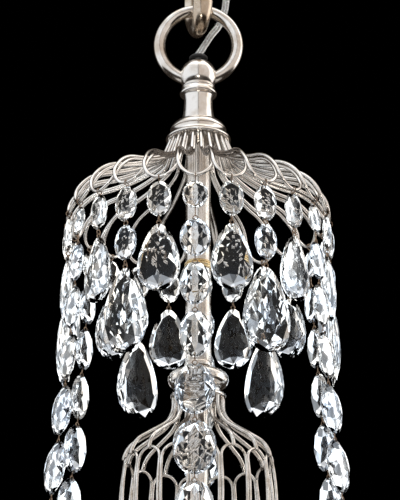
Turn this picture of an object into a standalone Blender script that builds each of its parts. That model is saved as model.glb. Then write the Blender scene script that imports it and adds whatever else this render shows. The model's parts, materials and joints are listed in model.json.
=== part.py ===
"""Small crystal chandelier: silver-plated wire crown and cage, six bead strands, eighteen drops.

Metres, +Z up.  The origin is the seat inside the top of the chain link, where the light hangs.
Heights are written as depths below that seat.  Azimuth 0 faces -Y and grows towards +X.
"""

import math

import bmesh
import bpy
from mathutils import Euler, Matrix, Vector

MM = 0.001
GAP = 0.3 * MM                      # clearance between separate pieces

# Chain link and hanging ring
LINK_OPENING = 36.4 * MM            # clear length inside the link
LINK_BEND = 13.0 * MM               # centre-line radius of its two bends
LINK_BAR = 5.0 * MM                 # half thickness of its bar in the plane of the link
LINK_WIDEN = 1.66                   # the bar is this much wider across the link
LINK_TURN = math.radians(16)        # the link hangs turned about the vertical
RING_RADIUS = 31.1 * MM
RING_BAR = 4.7 * MM
RING_DEPTH = LINK_OPENING - GAP - RING_BAR + RING_RADIUS

# Turned pieces on the axis
BALL_DEPTH = 89.9 * MM
BALL_RADIUS = 14.6 * MM
BALL_FOOT = 97.8 * MM
NECK_FOOT = 129.0 * MM
COLLAR_FOOT = 146.0 * MM
COLLAR_RADIUS = 25.4 * MM
STEM_RADIUS = 9.6 * MM
STEM_BORE = 5.0 * MM
COUPLING_DEPTH = 250.0 * MM
COUPLING_HALF = 2.7 * MM
KNOP_DEPTH = 340.6 * MM
KNOP_RADIUS = 22.9 * MM
KNOP_HALF = 6.6 * MM
CAP_FOOT = 355.5 * MM
SPINDLE_RADIUS = 7.7 * MM
CAGE_FOOT = 509.3 * MM
BASE_FOOT = 518.0 * MM

# Supply cord
CORD_RADIUS = 2.75 * MM
CORE_RADIUS = 1.5 * MM              # the stripped pair inside the fitting
CORD_BORE = 2.4 * MM

# Crown: wire hairpins from the collar to the hooks that carry the crystal
LOOPS = 24
LOOP_PITCH = 2 * math.pi / LOOPS
WIRE = 1.25 * MM
LEG_OFFSET = 1.35 * MM              # a leg's distance from the line it shares with its neighbour
CROWN_TURN = math.radians(-1.2)     # crown and crystal, about the axis
CROWN_START = (21.7 * MM, 147.6 * MM)
CROWN_HEADING = math.radians(68.6)
CROWN_STRETCHES = (                 # length and turn of each stretch, from the collar outwards
    (16.6 * MM, 0.0),
    (3.3 * MM, math.radians(-34.9)),
    (47.4 * MM, math.radians(-21.8)),
    (45.3 * MM, math.radians(73.9)),
)
LOOP_SIZE = (16.0 * MM, 12.8 * MM)  # half length and half width of a loop's round end
LOOP_WRAP = math.radians(120)
LOOP_LIFT = 1.45 * MM               # left arms pass over, right arms under their neighbours

# Cage: S-wires from the cap, each landing on the top of an arch
ARCHES = 16
ARCH_PITCH = 2 * math.pi / ARCHES
ARCH_TURN = math.radians(5)
ARCH_RADIUS = 9.9 * MM
RIB_START = (18.4 * MM, 357.0 * MM)
RIB_STRETCHES = (
    (2.5 * MM, 0.0),
    (22.3 * MM, math.radians(-58)),
    (20.0 * MM, 0.0),
    (17.0 * MM, math.radians(48)),
)
ARCH_START = (54.0 * MM, 402.0 * MM)
ARCH_STRETCHES = (
    (34.0 * MM, math.radians(12)),
    (55.0 * MM, math.radians(25)),
    (36.0 * MM, math.radians(65)),
)
ARCH_HEADING = math.radians(78)

# Lower hoop and lamp
HOOP_RADIUS = 127.0 * MM
HOOP_WIRE = 1.5 * MM
ARMS = 6
HOLDER_FOOT = 560.0 * MM

# Crystal
EYE_WIRE = 0.4 * MM
WIRE_TILT = 0.3                     # turns a square wire so that its corners miss a joint's corners
HOOK_EYE = 2.6 * MM                 # eye that rides on a crown or hoop wire
PIN_EYE = 1.6 * MM                  # eye between two crystals
OVAL = (18.0 * MM, 6.4 * MM, 24.6 * MM)
SHORT_PEAR = (31.0 * MM, 9.4 * MM, 50.0 * MM)
LONG_PEAR = (37.0 * MM, 11.0 * MM, 63.5 * MM)
FIRST_OVAL_TOP = 5.0 * MM           # below the hook
OVAL_STEP = 29.8 * MM
PEAR_PINCH = 0.5                    # how much a pear narrows from foot to tip
PIN_TAIL = 1.6 * MM                 # bare pin between the last oval and its eye
BEADS = 8
TALLEST_BEAD = 5                    # beads grow down to this one, counted from nought
BEAD_HEIGHTS = (19.8 * MM, 37.6 * MM)   # the first and the tallest
BEAD_TAPER = 4.6 * MM               # by which each bead below the tallest is shorter
FIRST_BEAD_GAP = 9.4 * MM           # a longer pin below the first bead than below the others
LAST_BEAD_GAP = 5.5 * MM
STRAND_BOW = 1.5


def clear_scene():
    for item in list(bpy.data.objects):
        bpy.data.objects.remove(item, do_unlink=True)


def make_material(name, colour, roughness, metallic=0.0, transmission=0.0):
    material = bpy.data.materials.new(name)
    material.use_nodes = True
    shader = material.node_tree.nodes["Principled BSDF"]
    shader.inputs["Base Color"].default_value = (*colour, 1.0)
    shader.inputs["Roughness"].default_value = roughness
    shader.inputs["Metallic"].default_value = metallic
    shader.inputs["Transmission Weight"].default_value = transmission
    material.diffuse_color = (*colour, 1.0)
    return material


def add_object(name, mesh, material, collection, smooth=True):
    """Wrap a mesh in a named object with its own material."""
    item = bpy.data.objects.new(name, mesh)
    collection.objects.link(item)
    if not mesh.materials:
        mesh.materials.append(material)
    if smooth:
        mesh.shade_smooth()
        mesh.set_sharp_from_angle(angle=math.radians(35))
    return item


# ---------------------------------------------------------------- shape helpers

def evaluated_mesh(item):
    """The mesh an object makes with its modifiers, in world space; the object is removed."""
    bpy.context.view_layer.update()
    source = item.evaluated_get(bpy.context.evaluated_depsgraph_get())
    mesh = bpy.data.meshes.new_from_object(source)
    mesh.transform(item.matrix_world)
    bpy.data.objects.remove(item, do_unlink=True)
    return mesh


def weld(mesh):
    """Close a mesh along seams where its points coincide."""
    work = bmesh.new()
    work.from_mesh(mesh)
    bmesh.ops.remove_doubles(work, verts=work.verts, dist=1e-6)
    bmesh.ops.recalc_face_normals(work, faces=work.faces)
    work.to_mesh(mesh)
    work.free()
    return mesh


def scratch_object(data):
    item = bpy.data.objects.new("scratch", data)
    bpy.context.scene.collection.objects.link(item)
    return item


def wire_mesh(points, radius, closed=False, rounding=0, thickness=None, tilt=0.0):
    """A wire of the given radius through the points; thickness scales it point by point."""
    curve = bpy.data.curves.new("wire", "CURVE")
    curve.dimensions = "3D"
    curve.bevel_depth = radius
    curve.bevel_resolution = rounding
    curve.use_fill_caps = True
    spline = curve.splines.new("POLY")
    spline.points.add(len(points) - 1)
    spline.use_cyclic_u = closed
    for index, point in enumerate(points):
        spline.points[index].co = (*point, 1.0)
        spline.points[index].tilt = tilt
        if thickness:
            spline.points[index].radius = thickness[index]
    return weld(evaluated_mesh(scratch_object(curve)))


def turned_mesh(profile, segments=14):
    """Revolve an outline of (radius, depth) points that runs down the outer side."""
    mesh = bpy.data.meshes.new("turned")
    bored = profile[-1][0] > 0
    edges = [(index, index + 1) for index in range(len(profile) - 1)]
    if bored:
        edges.append((len(profile) - 1, 0))
    mesh.from_pydata([(radius, 0.0, -depth) for radius, depth in profile], edges, [])
    item = scratch_object(mesh)
    screw = item.modifiers.new("turn", "SCREW")
    screw.steps = segments
    screw.render_steps = segments
    screw.use_merge_vertices = True
    screw.merge_threshold = 1e-6
    return weld(evaluated_mesh(item))


def arc(centre, radius, start, end, steps):
    """Points of a profile arc; angles in degrees from the outward direction, growing upwards."""
    points = []
    for step in range(steps + 1):
        angle = math.radians(start + (end - start) * step / steps)
        points.append((centre[0] + radius * math.cos(angle), centre[1] - radius * math.sin(angle)))
    return points


def united(meshes):
    """Boolean union of closed meshes, taken in order."""
    result = meshes[0]
    for mesh in meshes[1:]:
        body = scratch_object(result)
        other = scratch_object(mesh)
        join = body.modifiers.new("join", "BOOLEAN")
        join.operation = "UNION"
        join.solver = "EXACT"
        join.object = other
        result = evaluated_mesh(body)
        bpy.data.objects.remove(other, do_unlink=True)
    return result


def gathered(meshes):
    """Several meshes that don't touch, as one mesh."""
    work = bmesh.new()
    for mesh in meshes:
        work.from_mesh(mesh)
    result = bpy.data.meshes.new("gathered")
    work.to_mesh(result)
    work.free()
    return result


def eye_mesh(radius, depth, across):
    """A wire eye centred below the origin; across faces it along the crown, else outwards."""
    facing = Euler((0, math.pi / 2, 0)) if across else Euler((math.pi / 2, math.pi / 2, 0))
    bpy.ops.mesh.primitive_torus_add(
        major_radius=radius, minor_radius=EYE_WIRE, major_segments=6, minor_segments=3,
        location=(0, 0, -depth), rotation=facing)
    return evaluated_mesh(bpy.context.object)


def crystal_mesh(size, sides, rings, pinch=0.0):
    """A flat faceted crystal hanging from the origin; pinch narrows its top into a pear."""
    width, thickness, height = size
    widest = max(pear_width(step / 100, pinch) for step in range(101))
    work = bmesh.new()
    bmesh.ops.create_uvsphere(work, u_segments=sides, v_segments=rings, radius=0.5)
    for point in work.verts:
        narrow = (1 - pinch * (point.co.z + 0.5)) / widest
        point.co.x *= width * narrow
        point.co.y *= thickness * narrow
        point.co.z = (point.co.z - 0.5) * height
    mesh = bpy.data.meshes.new("crystal")
    work.to_mesh(mesh)
    work.free()
    return mesh


def pear_width(level, pinch):
    """Relative width at a level between the foot, 0, and the tip, 1."""
    return 2 * math.sqrt(level * (1 - level)) * (1 - pinch * level)


# ---------------------------------------------------------------- wire paths

def trace(start, heading, stretches, distance):
    """Radius, depth and heading at a distance along a path of straight and curved stretches."""
    radius, depth = start
    for length, turn in stretches:
        step = min(distance, length)
        bend = turn * step / length
        if turn:
            curve = length / turn
            radius += curve * (math.sin(heading + bend) - math.sin(heading))
            depth += curve * (math.cos(heading) - math.cos(heading + bend))
        else:
            radius += step * math.cos(heading)
            depth += step * math.sin(heading)
        heading += bend
        distance -= step
    return radius, depth, heading


def path_length(stretches):
    return sum(length for length, _ in stretches)


def crown_section(from_hook):
    length = path_length(CROWN_STRETCHES)
    return trace(CROWN_START, CROWN_HEADING, CROWN_STRETCHES, length - from_hook)


def cage_section(from_top):
    return trace(ARCH_START, ARCH_HEADING, ARCH_STRETCHES, from_top)


def polar(radius, azimuth, depth):
    return Vector((radius * math.sin(azimuth), -radius * math.cos(azimuth), -depth))


def hairpin_points(section, azimuth, half_pitch, loop, wrap, loop_steps, stations, lift=0.0):
    """A wire bent double: a round end, and two legs that run beside their neighbours' legs.

    loop is the round end's half length and half width. Its left arm is lifted, its right lowered.
    """
    length, half = loop
    arms = []
    for side in (-1, 1):
        arm = []
        for step in range(loop_steps + 1):
            angle = wrap * step / loop_steps
            radius, depth, heading = section(length * (1 - math.cos(angle)))
            rise = -side * lift * math.sin(angle) ** 4
            spread = half * math.sin(angle) / radius
            arm.append(polar(
                radius + rise * math.sin(heading),
                azimuth + side * spread,
                depth - rise * math.cos(heading)))
        for station in stations:
            radius, depth, _ = section(station)
            arm.append(polar(radius, azimuth + side * (half_pitch - LEG_OFFSET / radius), depth))
        arms.append(arm)
    return arms[0][::-1] + arms[1][1:]


def band_mesh(inner, outer, top, foot, segments=24):
    return turned_mesh([(outer, top), (outer, foot), (inner, foot), (inner, top)], segments)


# ---------------------------------------------------------------- hanging pieces

def chain_link_mesh():
    """An oblong link with a flat facet at the top of its opening."""
    apothem = LINK_BAR * math.cos(math.pi / 8)
    top = apothem - LINK_BEND
    foot = -LINK_OPENING - apothem + LINK_BEND
    steps = 7
    reach = LINK_BEND / math.cos(math.pi / steps / 2)
    points = []
    for centre, start in ((top, 0.0), (foot, math.pi)):
        for step in range(steps + 1):
            angle = start + math.pi * step / steps
            points.append(Vector((0, reach * math.cos(angle), centre + reach * math.sin(angle))))
    mesh = wire_mesh(points, LINK_BAR, closed=True, rounding=2, tilt=math.pi / 8)
    mesh.transform(Matrix.Rotation(LINK_TURN, 4, "Z") @ Matrix.Diagonal((LINK_WIDEN, 1, 1, 1)))
    return mesh


def hanging_ring_mesh():
    bpy.ops.mesh.primitive_torus_add(
        major_radius=RING_RADIUS, minor_radius=RING_BAR, major_segments=22, minor_segments=8,
        location=(0, 0, -RING_DEPTH), rotation=(math.pi / 2, 0, 0))
    return evaluated_mesh(bpy.context.object)


def ball_cap_mesh():
    """A hollow ball, open below, drilled across for the ring and on top for the cord."""
    centre = (0, BALL_DEPTH)
    foot_angle = -math.degrees(math.asin((BALL_FOOT - BALL_DEPTH) / BALL_RADIUS))
    inner = BALL_RADIUS - 2.6 * MM
    inner_foot = -math.degrees(math.asin((BALL_FOOT - BALL_DEPTH) / inner))
    top_angle = math.degrees(math.acos((CORD_RADIUS + GAP) / BALL_RADIUS))
    inner_top = math.degrees(math.acos((CORD_RADIUS + GAP) / inner))
    profile = arc(centre, BALL_RADIUS, top_angle, foot_angle, 5)
    profile += arc(centre, inner, inner_foot, inner_top, 3)
    ball = scratch_object(turned_mesh(profile, 16))
    bpy.ops.mesh.primitive_torus_add(
        major_radius=RING_RADIUS, minor_radius=RING_BAR + GAP, major_segments=22,
        minor_segments=8, location=(0, 0, -RING_DEPTH), rotation=(math.pi / 2, 0, 0))
    cutter = bpy.context.object
    cut = ball.modifiers.new("ring_hole", "BOOLEAN")
    cut.operation = "DIFFERENCE"
    cut.solver = "EXACT"
    cut.object = cutter
    mesh = evaluated_mesh(ball)
    bpy.data.objects.remove(cutter, do_unlink=True)
    return mesh


def supply_cord_mesh():
    """Clear flex from above, past the ring, down through the fitting to the lamp holder."""
    visible = [(24, 9, 6), (22.6, 10, 16), (21.5, 10.5, 25), (18.8, 10.5, 34), (16, 9.5, 41),
               (10.5, 6.5, 50), (5.5, 3, 60), (2, 0.8, 67), (0, 0, 71), (0, 0, 73)]
    hidden = [(0, 0, 77), (0, 4, 83), (0, 7, 90), (0, 7, 97), (0, 3.5, 106), (0, 0, 116),
              (0, 0, 530)]
    points = [Vector((x, y, -depth)) * MM for x, y, depth in visible + hidden]
    core = CORE_RADIUS / CORD_RADIUS
    thickness = [1.0] * len(visible) + [core] * len(hidden)
    return wire_mesh(points, CORD_RADIUS, rounding=1, thickness=thickness)


def neck_mesh():
    top = BALL_FOOT + GAP
    bead = 105.7 * MM
    profile = [
        (12.3 * MM, top), (12.6 * MM, top + 2.0 * MM), (13.8 * MM, bead - 1.9 * MM)]
    profile += arc((13.2 * MM, bead), 1.5 * MM, 60, -60, 3)
    profile += [
        (11.5 * MM, bead + 2.0 * MM), (11.8 * MM, 115.0 * MM), (13.8 * MM, NECK_FOOT - 1.6 * MM),
        (14.6 * MM, NECK_FOOT - 1.0 * MM), (14.6 * MM, NECK_FOOT),
        (9.0 * MM, NECK_FOOT), (9.0 * MM, top)]
    return turned_mesh(profile)


def collar_mesh():
    """A saucer with a quarter-round upper step and a flared lip."""
    top = NECK_FOOT + GAP
    profile = [(15.6 * MM, top)]
    profile += arc((15.6 * MM, COLLAR_FOOT - 10.2 * MM), 6.4 * MM, 80, -15, 4)
    profile += [
        (21.0 * MM, COLLAR_FOOT - 6.8 * MM), (21.8 * MM, COLLAR_FOOT - 3.6 * MM),
        (COLLAR_RADIUS - 1.6 * MM, COLLAR_FOOT - 1.4 * MM),
        (COLLAR_RADIUS, COLLAR_FOOT - 0.6 * MM), (COLLAR_RADIUS - 0.3 * MM, COLLAR_FOOT),
        (CORD_BORE, COLLAR_FOOT), (CORD_BORE, top)]
    return turned_mesh(profile, 18)


def crown_mesh():
    stations = [length * MM for length in (40, 64, 94, path_length(CROWN_STRETCHES) / MM)]
    pins = []
    for loop in range(LOOPS):
        points = hairpin_points(
            crown_section, loop * LOOP_PITCH + CROWN_TURN, LOOP_PITCH / 2, LOOP_SIZE, LOOP_WRAP, 3,
            stations, LOOP_LIFT)
        pins.append(wire_mesh(points, WIRE))
    band = band_mesh(19.6 * MM, 23.8 * MM, COLLAR_FOOT + GAP, COLLAR_FOOT + 3.0 * MM)
    return united([band, gathered(pins)])


def stem_tube_mesh(top, foot):
    return turned_mesh([(STEM_RADIUS, top), (STEM_RADIUS, foot), (STEM_BORE, foot), (STEM_BORE, top)])


def coupling_mesh():
    edge = STEM_RADIUS + 1.1 * MM
    top = COUPLING_DEPTH - COUPLING_HALF
    foot = COUPLING_DEPTH + COUPLING_HALF
    return turned_mesh([
        (STEM_RADIUS, top), (edge, top + 0.9 * MM), (edge, foot - 0.9 * MM), (STEM_RADIUS, foot),
        (STEM_BORE, foot), (STEM_BORE, top)])


def lower_stem_mesh():
    """A tube with a shoulder; the knop and the cap sit on its narrow part."""
    top = COUPLING_DEPTH + COUPLING_HALF + GAP
    shoulder = KNOP_DEPTH - KNOP_HALF - GAP
    return turned_mesh([
        (STEM_RADIUS, top), (STEM_RADIUS, shoulder), (SPINDLE_RADIUS, shoulder),
        (SPINDLE_RADIUS, CAGE_FOOT), (STEM_BORE, CAGE_FOOT), (STEM_BORE, top)])


def knop_mesh():
    bore = SPINDLE_RADIUS + GAP
    top = KNOP_DEPTH - KNOP_HALF
    foot = KNOP_DEPTH + KNOP_HALF
    profile = [(10.6 * MM, top)]
    profile += arc((KNOP_RADIUS - KNOP_HALF, KNOP_DEPTH), KNOP_HALF, 75, -75, 5)
    profile += [(11.5 * MM, foot), (bore, foot), (bore, top)]
    return turned_mesh(profile, 18)


def cage_cap_mesh():
    bore = SPINDLE_RADIUS + GAP
    top = KNOP_DEPTH + KNOP_HALF + GAP
    return turned_mesh([
        (12.0 * MM, top), (12.6 * MM, 350.0 * MM), (17.8 * MM, 352.0 * MM), (20.2 * MM, 353.2 * MM),
        (20.2 * MM, CAP_FOOT - 0.6 * MM), (19.7 * MM, CAP_FOOT), (bore, CAP_FOOT), (bore, top)], 18)


def cage_mesh():
    """Sixteen ribs and sixteen arches between an upper and a lower band."""
    arches = []
    ribs = []
    leg_foot = path_length(ARCH_STRETCHES)
    stations = [length * MM for length in (38, 76, 104)] + [leg_foot]
    rib_length = path_length(RIB_STRETCHES)
    for index in range(ARCHES):
        azimuth = ARCH_TURN + index * ARCH_PITCH
        points = hairpin_points(
            cage_section, azimuth, ARCH_PITCH / 2, (ARCH_RADIUS, ARCH_RADIUS), math.pi / 2, 2, stations)
        arches.append(wire_mesh(points, WIRE))
        rib = []
        for distance in (0.0, 6.0 * MM, 15.0 * MM, 25.0 * MM, 46.0 * MM, rib_length):
            radius, depth, _ = trace(RIB_START, math.pi / 2, RIB_STRETCHES, distance)
            rib.append(polar(radius, azimuth, depth))
        ribs.append(wire_mesh(rib, WIRE))
    top_band = band_mesh(16.6 * MM, 20.1 * MM, CAP_FOOT + GAP, 358.2 * MM, 16)
    foot_band = band_mesh(14.6 * MM, 20.2 * MM, CAGE_FOOT - 3.6 * MM, CAGE_FOOT, 16)
    upper = united([top_band, gathered(ribs)])
    lower = united([foot_band, gathered(arches)])
    return united([upper, lower])


def cage_base_mesh():
    top = CAGE_FOOT + GAP
    profile = [(20.6 * MM, top), (22.0 * MM, top + 1.0 * MM), (21.0 * MM, top + 3.0 * MM)]
    profile += [(14.0 * MM, BASE_FOOT - 2.0 * MM), (13.0 * MM, BASE_FOOT)]
    profile += [(CORD_BORE, BASE_FOOT), (CORD_BORE, top)]
    return turned_mesh(profile)


def hoop_mesh():
    """A hub with six arms that carry a hoop for the strands."""
    hub_top = BASE_FOOT + GAP
    hub = band_mesh(CORD_BORE, 13.0 * MM, hub_top, hub_top + 3.4 * MM, 18)
    bpy.ops.mesh.primitive_torus_add(
        major_radius=HOOP_RADIUS, minor_radius=HOOP_WIRE, major_segments=36, minor_segments=4,
        location=(0, 0, -BASE_FOOT))
    hoop = evaluated_mesh(bpy.context.object)
    arms = []
    for index in range(ARMS):
        azimuth = (index + 0.5) * 2 * math.pi / ARMS
        arm = []
        for radius, depth in ((10, 520), (50, 529), (95, 530), (127, 518)):
            arm.append(polar(radius * MM, azimuth, depth * MM))
        arms.append(wire_mesh(arm, 1.4 * MM, tilt=WIRE_TILT))
    return united([hub, gathered(arms), hoop])


def lamp_holder_mesh():
    top = BASE_FOOT + 4.0 * MM
    return turned_mesh([
        (11.0 * MM, top), (12.6 * MM, top + 4 * MM), (12.6 * MM, top + 12 * MM),
        (14.0 * MM, top + 15 * MM), (14.0 * MM, HOLDER_FOOT), (12.2 * MM, HOLDER_FOOT),
        (12.2 * MM, top + 16 * MM), (CORD_BORE, top + 14 * MM), (CORD_BORE, top)])


def bulb_mesh():
    """A small pear lamp, its cap inside the holder."""
    cap_top = HOLDER_FOOT - 20 * MM
    glass = 592 * MM
    profile = [
        (0.0, cap_top), (8.0 * MM, cap_top + 1 * MM), (11.6 * MM, cap_top + 4 * MM),
        (11.6 * MM, HOLDER_FOOT + 2 * MM), (13.0 * MM, 570 * MM)]
    profile += arc((0, glass), 21 * MM, 35, -70, 5)
    profile += [(0.0, glass + 21 * MM)]
    return turned_mesh(profile)


# ---------------------------------------------------------------- crystal

def pin_mesh(top, foot):
    return wire_mesh([Vector((0, 0, -top)), Vector((0, 0, -foot))], EYE_WIRE, tilt=WIRE_TILT)


def eye_depth():
    """The hook eye hangs a little below the wire it rides on."""
    return HOOK_EYE - EYE_WIRE - WIRE - GAP


def link_foot(ovals):
    """Depth of the last oval's tip below the hook."""
    return FIRST_OVAL_TOP + (ovals - 1) * OVAL_STEP + OVAL[2]


def lower_eye_depth(ovals):
    return link_foot(ovals) + PIN_TAIL + PIN_EYE + EYE_WIRE


def pear_pivot_depth(ovals):
    """Where the pear's eye bears in the lower eye of the ovals."""
    return lower_eye_depth(ovals) + PIN_EYE - 2 * EYE_WIRE - GAP


def oval_link_mesh(ovals):
    """One or two ovals on a pin, with an eye at each end."""
    crystals = []
    for index in range(ovals):
        oval = crystal_mesh(OVAL, 6, 3)
        oval.transform(Matrix.Translation((0, 0, -FIRST_OVAL_TOP - index * OVAL_STEP)))
        crystals.append(oval)
    hook_eye = eye_mesh(HOOK_EYE, eye_depth(), across=True)
    lower_eye = eye_mesh(PIN_EYE, lower_eye_depth(ovals), across=True)
    pin = pin_mesh(eye_depth() + HOOK_EYE, lower_eye_depth(ovals) - PIN_EYE)
    return united([pin, gathered(crystals), gathered([hook_eye, lower_eye])])


def pear_mesh(size):
    eye = eye_mesh(PIN_EYE, PIN_EYE, across=False)
    pear = crystal_mesh(size, 8, 5, pinch=PEAR_PINCH)
    pear.transform(Matrix.Translation((0, 0, -2 * PIN_EYE + 0.3 * MM)))
    return united([pear, eye])


def bead_heights():
    first, tallest = BEAD_HEIGHTS
    heights = []
    for index in range(BEADS):
        growth = math.sqrt(min(1.0, index / TALLEST_BEAD))
        heights.append(first + (tallest - first) * growth - BEAD_TAPER * max(0, index - TALLEST_BEAD))
    return heights


def strand_point(hook, fraction):
    """A strand bows outwards on its way down from its hook to the hoop."""
    reach = HOOP_RADIUS - hook[0]
    drop = BASE_FOOT - hook[1]
    return Vector((0, -reach * fraction ** STRAND_BOW, -drop * fraction))


def strand_mesh(hook):
    """Eight beads on one wire, smallest at the top, with an eye on the crown and one on the hoop."""
    steps = 600
    trail = [strand_point(hook, step / steps) for step in range(steps + 1)]
    distance = [0.0]
    for before, after in zip(trail, trail[1:]):
        distance.append(distance[-1] + (after - before).length)

    def along(target):
        index = next(step for step, reached in enumerate(distance) if reached >= target)
        return trail[index], (trail[min(index + 1, steps)] - trail[index - 1]).normalized()

    heights = bead_heights()
    rest = distance[-1] - FIRST_OVAL_TOP - FIRST_BEAD_GAP - sum(heights) - LAST_BEAD_GAP
    gap = rest / (BEADS - 2)
    top = FIRST_OVAL_TOP
    beads = []
    stops = [Vector((0, 0, -eye_depth() - HOOK_EYE))]
    for index, height in enumerate(heights):
        place, heading = along(top + height / 2)
        bead = crystal_mesh((min(0.9 * height, 21.4 * MM) if index < 4 else 0.78 * height,
                             0.3 * height, height), 6, 3)
        turn = Vector((0, 0, -1)).rotation_difference(heading).to_matrix().to_4x4()
        bead.transform(Matrix.Translation(place) @ turn @ Matrix.Translation((0, 0, height / 2)))
        beads.append(bead)
        stops.append(place)
        top += height + (gap if index else FIRST_BEAD_GAP)
    hoop_eye = HOOK_EYE + HOOP_WIRE - WIRE
    foot = trail[-1]
    stops.append(foot + Vector((0, 0, hoop_eye)))
    wire = wire_mesh(stops, EYE_WIRE, tilt=WIRE_TILT)
    lower_eye = eye_mesh(hoop_eye, -foot.z, across=True)
    lower_eye.transform(Matrix.Translation((0, foot.y, 0)))
    eyes = gathered([eye_mesh(HOOK_EYE, eye_depth(), across=True), lower_eye])
    return united([wire, gathered(beads), eyes])


# ---------------------------------------------------------------- assembly

def build():
    clear_scene()
    collection = bpy.data.collections.new("crystal_chandelier")
    bpy.context.scene.collection.children.link(collection)

    silver = (0.78, 0.75, 0.71)
    aged = (0.62, 0.54, 0.44)
    black = (0.02, 0.02, 0.02)
    clear = (0.86, 0.87, 0.88)
    crystal = (0.93, 0.95, 0.97)
    coupling_top = COUPLING_DEPTH - COUPLING_HALF
    fixed_pieces = (
        ("hanging_ring", hanging_ring_mesh(), silver, 0.16, 1.0),
        ("cord_grommet", turned_mesh([
            (4.6 * MM, 71.5 * MM), (7.6 * MM, 73.4 * MM), (7.2 * MM, 74.9 * MM),
            (5.6 * MM, BALL_DEPTH - BALL_RADIUS - GAP), (CORD_RADIUS + GAP, 74.9 * MM),
            (CORD_RADIUS + GAP, 71.5 * MM)]), black, 0.5, 0.0),
        ("ball_cap", ball_cap_mesh(), silver, 0.12, 1.0),
        ("supply_cord", supply_cord_mesh(), clear, 0.2, 0.0),
        ("neck_spindle", neck_mesh(), silver, 0.14, 1.0),
        ("crown_collar", collar_mesh(), silver, 0.14, 1.0),
        ("crown_wirework", crown_mesh(), silver, 0.2, 1.0),
        ("upper_stem_tube", stem_tube_mesh(COLLAR_FOOT + GAP, coupling_top - GAP), silver, 0.2, 1.0),
        ("stem_coupling", coupling_mesh(), (0.72, 0.56, 0.34), 0.25, 1.0),
        ("lower_stem_tube", lower_stem_mesh(), silver, 0.2, 1.0),
        ("bun_knop", knop_mesh(), silver, 0.15, 1.0),
        ("cage_cap", cage_cap_mesh(), silver, 0.2, 1.0),
        ("cage_wirework", cage_mesh(), silver, 0.22, 1.0),
        ("cage_base", cage_base_mesh(), silver, 0.2, 1.0),
        ("hoop_frame", hoop_mesh(), silver, 0.22, 1.0),
        ("lamp_holder", lamp_holder_mesh(), black, 0.35, 0.0),
        ("bulb", bulb_mesh(), (0.95, 0.94, 0.9), 0.1, 0.0),
    )

    link_material = make_material("chain_link", aged, 0.25, 1.0)
    add_object("chain_link", chain_link_mesh(), link_material, collection)

    pivot = bpy.data.objects.new("swing_pivot", None)
    pivot.location = (0, 0, -(RING_DEPTH - RING_RADIUS))
    collection.objects.link(pivot)
    to_pivot = Matrix.Translation(pivot.location).inverted()
    for name, mesh, colour, roughness, metallic in fixed_pieces:
        mesh.transform(to_pivot)
        item = add_object(name, mesh, make_material(name, colour, roughness, metallic), collection)
        item.parent = pivot

    hook = crown_section(0.0)
    strand = strand_mesh(hook)
    links = {1: oval_link_mesh(1), 2: oval_link_mesh(2)}
    pears = {1: pear_mesh(SHORT_PEAR), 2: pear_mesh(LONG_PEAR)}
    bead_glass = make_material("strand_crystal", crystal, 0.03, transmission=0.9)
    oval_glass = make_material("oval_crystal", crystal, 0.03, transmission=0.9)
    pear_glass = make_material("pear_crystal", crystal, 0.02, transmission=0.9)
    for loop in range(LOOPS):
        azimuth = loop * LOOP_PITCH + CROWN_TURN
        place = polar(hook[0], azimuth, hook[1]) - pivot.location
        if loop % 4 == 0:
            name = f"bead_strand_{loop // 4 + 1}"
            item = add_object(name, strand, bead_glass, collection, smooth=False)
        else:
            ovals = 2 if loop % 4 == 2 else 1
            item = add_object(f"oval_link_{loop:02d}", links[ovals], oval_glass, collection, smooth=False)
            pear = add_object(f"pear_drop_{loop:02d}", pears[ovals], pear_glass, collection, smooth=False)
            pear.parent = item
            pear.location = (0, 0, -pear_pivot_depth(ovals))
        item.parent = pivot
        item.location = place
        item.rotation_euler = (0, 0, azimuth)


build()
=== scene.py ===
"""Looks of the small crystal chandelier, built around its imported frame."""

import json
import math

import bmesh
import bpy
from mathutils import Matrix, Vector

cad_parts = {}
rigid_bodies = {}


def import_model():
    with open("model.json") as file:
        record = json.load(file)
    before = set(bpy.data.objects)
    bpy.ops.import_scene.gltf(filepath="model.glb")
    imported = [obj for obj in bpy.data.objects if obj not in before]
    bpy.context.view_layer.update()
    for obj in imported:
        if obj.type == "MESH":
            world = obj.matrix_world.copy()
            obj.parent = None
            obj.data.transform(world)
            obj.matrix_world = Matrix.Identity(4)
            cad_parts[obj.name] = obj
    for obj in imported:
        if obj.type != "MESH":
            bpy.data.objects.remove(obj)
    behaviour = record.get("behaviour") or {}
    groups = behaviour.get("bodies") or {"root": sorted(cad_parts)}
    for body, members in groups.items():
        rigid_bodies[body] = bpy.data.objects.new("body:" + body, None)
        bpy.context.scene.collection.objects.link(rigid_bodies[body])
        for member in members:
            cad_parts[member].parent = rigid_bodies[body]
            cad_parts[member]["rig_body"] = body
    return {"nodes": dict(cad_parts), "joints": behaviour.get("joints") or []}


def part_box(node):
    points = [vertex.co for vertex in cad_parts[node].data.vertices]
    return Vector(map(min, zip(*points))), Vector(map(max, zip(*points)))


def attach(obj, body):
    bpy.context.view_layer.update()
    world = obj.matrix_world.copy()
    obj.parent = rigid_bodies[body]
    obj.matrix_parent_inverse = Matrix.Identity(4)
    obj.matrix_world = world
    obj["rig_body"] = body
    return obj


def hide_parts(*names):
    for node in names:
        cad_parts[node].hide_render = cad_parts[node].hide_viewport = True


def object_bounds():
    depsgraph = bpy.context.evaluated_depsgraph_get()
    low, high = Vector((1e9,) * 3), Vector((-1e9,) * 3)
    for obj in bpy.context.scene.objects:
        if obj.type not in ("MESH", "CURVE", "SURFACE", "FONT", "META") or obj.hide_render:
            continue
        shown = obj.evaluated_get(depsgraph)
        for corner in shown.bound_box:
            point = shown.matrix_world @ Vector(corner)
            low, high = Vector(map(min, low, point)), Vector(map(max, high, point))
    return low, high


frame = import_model()
cad_low, cad_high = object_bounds()

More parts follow.
